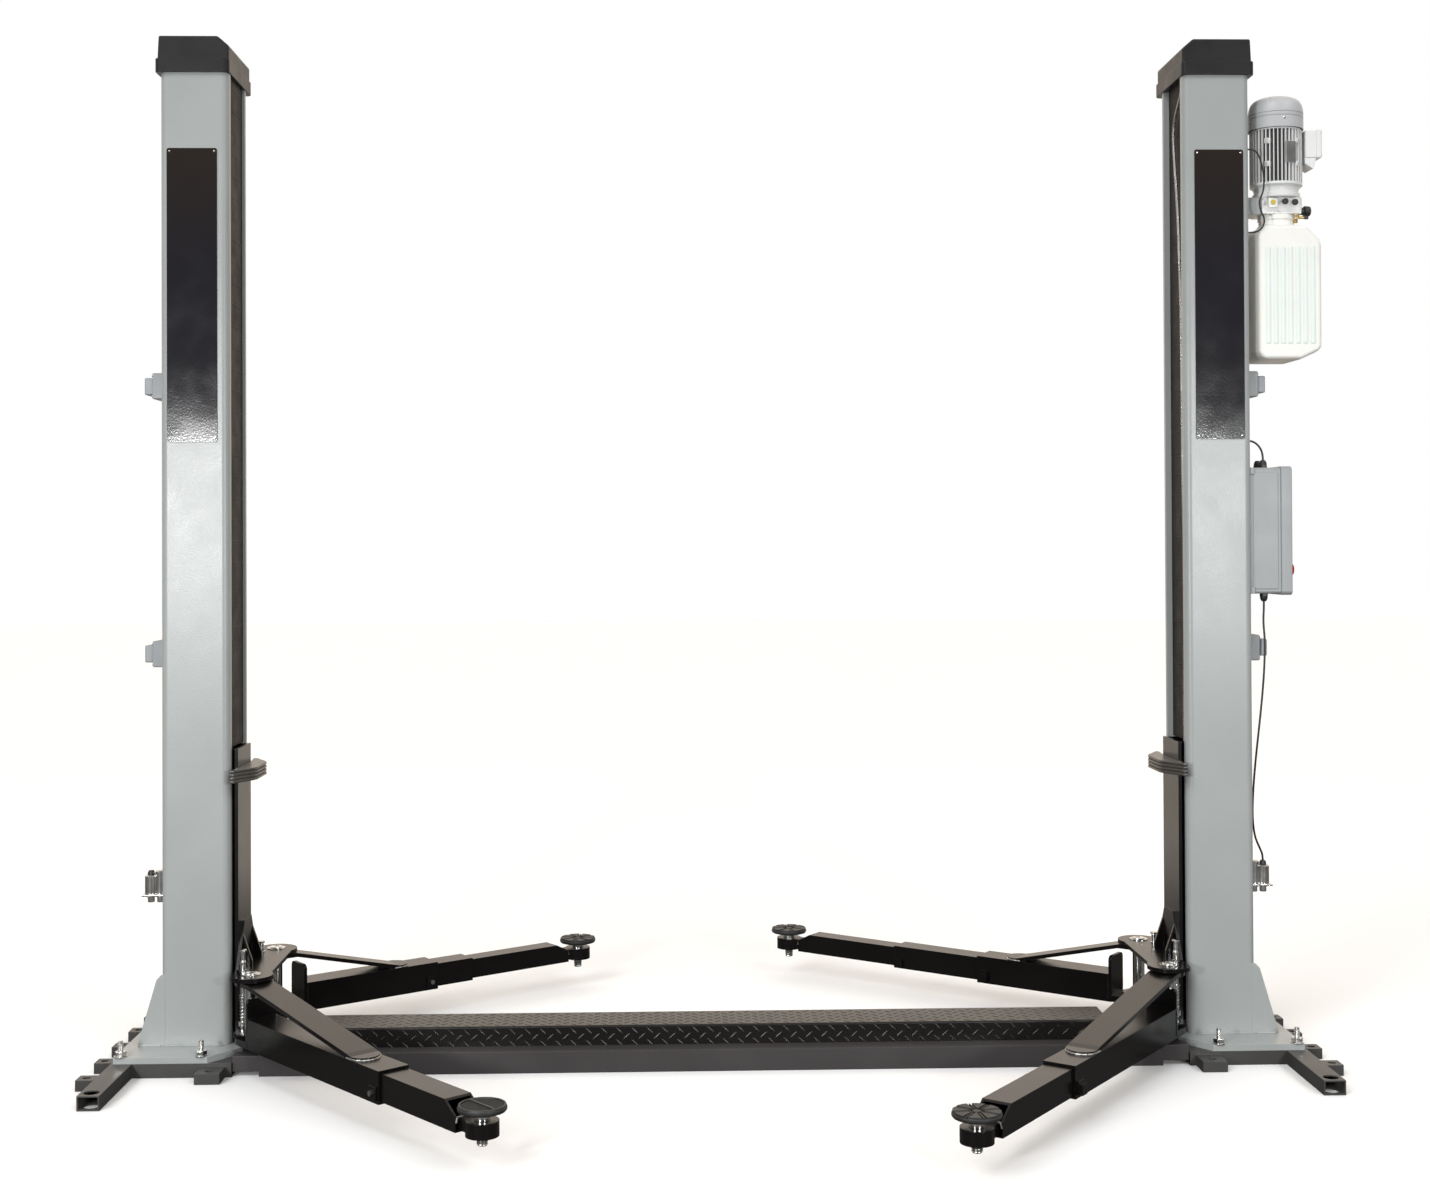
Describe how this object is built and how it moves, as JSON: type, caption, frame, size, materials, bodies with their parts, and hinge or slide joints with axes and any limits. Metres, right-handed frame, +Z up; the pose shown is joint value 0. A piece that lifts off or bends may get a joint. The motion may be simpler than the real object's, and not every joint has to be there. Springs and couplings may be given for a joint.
{
  "type": "two post car lift",
  "caption": "Two post vehicle lift with coupled carriages, telescopic swing arms with screw pads, a base frame, a cross rail under a tread cover and a hydraulic power unit.",
  "frame": {"origin": "on the floor, midway between the two columns, at the centre of the four outrigger foot holes", "axes": "+X along the cross rail towards the column with the power unit, +Y from the front face of the columns towards the rear, +Z up"},
  "size_m": [3.579, 2.2038, 2.968],
  "materials": {
    "column_paint": "satin fine texture",
    "frame_paint": "satin",
    "rail_paint": "satin",
    "tread_paint": "satin, raised tread",
    "arm_black": "semi-gloss",
    "cap_plastic": "matte, textured",
    "chrome": "polished plating",
    "panel_gloss": "gloss",
    "block_grey": "matte",
    "rope_steel": "stranded",
    "curtain_black": "matte",
    "slide_nylon": "matte",
    "bumper_rubber": "matte",
    "pad_rubber": "matte",
    "motor_alloy": "cast, painted",
    "cowl_plastic": "matte",
    "valve_alloy": "machined",
    "tank_plastic": "moulded",
    "box_paint": "satin",
    "gland_plastic": "matte",
    "cable_black": "matte",
    "button_red": "gloss"
  },
  "bodies": {
    "post_frame": {"base_frame_left": "frame_paint", "base_frame_right": "frame_paint", "cross_rail": "rail_paint", "tread_cover": "tread_paint", "base_plates": "column_paint", "column_left": "column_paint", "column_right": "column_paint", "column_cap_left": "cap_plastic", "column_cap_right": "cap_plastic", "anchor_bolts": "chrome", "name_panels": "panel_gloss", "cover_blocks": "block_grey", "lock_solenoids": "chrome", "sync_ropes": "rope_steel", "curtain_left": "curtain_black", "curtain_right": "curtain_black", "motor_cable": "cable_black", "feed_cable": "cable_black", "control_cable": "cable_black", "motor_body": "motor_alloy", "fan_cowl": "cowl_plastic", "terminal_box": "motor_alloy", "valve_block": "valve_alloy", "oil_tank": "tank_plastic", "unit_bracket": "column_paint", "control_box": "box_paint", "cable_glands": "gland_plastic"},
    "stop_button": {"stop_button": "button_red"},
    "carriage_left": {"carriage_left": "arm_black", "clevis_plates_left": "arm_black", "slide_blocks_left": "slide_nylon", "pivot_pins_left": "chrome", "door_bumper_left": "bumper_rubber"},
    "arm_front_left": {"arm_outer_front_left": "arm_black"},
    "lock_front_left": {"arm_lock_front_left": "chrome"},
    "stage_front_left": {"arm_inner_front_left": "arm_black"},
    "pad_front_left": {"pad_spindle_front_left": "chrome", "pad_front_left": "pad_rubber"},
    "arm_rear_left": {"arm_outer_rear_left": "arm_black"},
    "lock_rear_left": {"arm_lock_rear_left": "chrome"},
    "stage_rear_left": {"arm_inner_rear_left": "arm_black"},
    "mid_rear_left": {"arm_mid_rear_left": "arm_black"},
    "pad_rear_left": {"pad_spindle_rear_left": "chrome", "pad_rear_left": "pad_rubber"},
    "carriage_right": {"carriage_right": "arm_black", "clevis_plates_right": "arm_black", "slide_blocks_right": "slide_nylon", "pivot_pins_right": "chrome", "door_bumper_right": "bumper_rubber"},
    "arm_front_right": {"arm_outer_front_right": "arm_black"},
    "lock_front_right": {"arm_lock_front_right": "chrome"},
    "stage_front_right": {"arm_inner_front_right": "arm_black"},
    "pad_front_right": {"pad_spindle_front_right": "chrome", "pad_front_right": "pad_rubber"},
    "arm_rear_right": {"arm_outer_rear_right": "arm_black"},
    "lock_rear_right": {"arm_lock_rear_right": "chrome"},
    "stage_rear_right": {"arm_inner_rear_right": "arm_black"},
    "mid_rear_right": {"arm_mid_rear_right": "arm_black"},
    "pad_rear_right": {"pad_spindle_rear_right": "chrome", "pad_rear_right": "pad_rubber"}
  },
  "joints": [
    {"name": "stop_press", "type": "slide", "parent": "post_frame", "child": "stop_button", "axis": [-1, 0, 0], "range_m": [0, 0.004], "stiffness_N_per_m": 400},
    {"name": "lift_left", "type": "slide", "parent": "post_frame", "child": "carriage_left", "axis": [0, 0, 1], "range_m": [0, 1.75], "deforming": ["curtain_left"]},
    {"name": "swing_front_left", "type": "hinge", "parent": "carriage_left", "child": "arm_front_left", "pos_m": [-1.318, -0.172, 0.12], "axis": [0, 0, -1], "range_deg": [-30, 40.3]},
    {"name": "lock_front_left", "type": "slide", "parent": "carriage_left", "child": "lock_front_left", "axis": [0, 0, 1], "range_m": [-0.022, 0]},
    {"name": "extend_front_left", "type": "slide", "parent": "arm_front_left", "child": "stage_front_left", "axis": [0.6468, -0.7627, 0], "range_m": [-0.318, 0.247]},
    {"name": "screw_front_left", "type": "slide", "parent": "stage_front_left", "child": "pad_front_left", "axis": [0, 0, 1], "range_m": [0, 0.04]},
    {"name": "swing_rear_left", "type": "hinge", "parent": "carriage_left", "child": "arm_rear_left", "pos_m": [-1.318, 0.172, 0.12], "axis": [0, 0, 1], "range_deg": [-37.5, 54]},
    {"name": "lock_rear_left", "type": "slide", "parent": "carriage_left", "child": "lock_rear_left", "axis": [0, 0, 1], "range_m": [-0.022, 0]},
    {"name": "extend_mid_left", "type": "slide", "parent": "arm_rear_left", "child": "mid_rear_left", "axis": [0.809, 0.5878, 0], "range_m": [-0.095, 0.189]},
    {"name": "extend_rear_left", "type": "slide", "parent": "mid_rear_left", "child": "stage_rear_left", "axis": [0.809, 0.5878, 0], "range_m": [-0.361, 0.028]},
    {"name": "screw_rear_left", "type": "slide", "parent": "stage_rear_left", "child": "pad_rear_left", "axis": [0, 0, 1], "range_m": [0, 0.04]},
    {"name": "lift_right", "type": "slide", "parent": "post_frame", "child": "carriage_right", "axis": [0, 0, 1], "range_m": [0, 1.75], "deforming": ["curtain_right", "sync_ropes"]},
    {"name": "swing_front_right", "type": "hinge", "parent": "carriage_right", "child": "arm_front_right", "pos_m": [1.318, -0.172, 0.12], "axis": [0, 0, 1], "range_deg": [-30, 36.6]},
    {"name": "lock_front_right", "type": "slide", "parent": "carriage_right", "child": "lock_front_right", "axis": [0, 0, 1], "range_m": [-0.022, 0]},
    {"name": "extend_front_right", "type": "slide", "parent": "arm_front_right", "child": "stage_front_right", "axis": [-0.5962, -0.8028, 0], "range_m": [-0.385, 0.18]},
    {"name": "screw_front_right", "type": "slide", "parent": "stage_front_right", "child": "pad_front_right", "axis": [0, 0, 1], "range_m": [0, 0.04]},
    {"name": "swing_rear_right", "type": "hinge", "parent": "carriage_right", "child": "arm_rear_right", "pos_m": [1.318, 0.172, 0.12], "axis": [0, 0, -1], "range_deg": [-37.5, 53.3]},
    {"name": "lock_rear_right", "type": "slide", "parent": "carriage_right", "child": "lock_rear_right", "axis": [0, 0, 1], "range_m": [-0.022, 0]},
    {"name": "extend_mid_right", "type": "slide", "parent": "arm_rear_right", "child": "mid_rear_right", "axis": [-0.8018, 0.5976, 0], "range_m": [-0.274, 0.01]},
    {"name": "extend_rear_right", "type": "slide", "parent": "mid_rear_right", "child": "stage_rear_right", "axis": [-0.8018, 0.5976, 0], "range_m": [-0.369, 0.02]},
    {"name": "screw_rear_right", "type": "slide", "parent": "stage_rear_right", "child": "pad_rear_right", "axis": [0, 0, 1], "range_m": [0, 0.04]}
  ],
  "couplings": [
    {"joint": "lift_right", "follows": "lift_left", "ratio": 1}
  ]
}
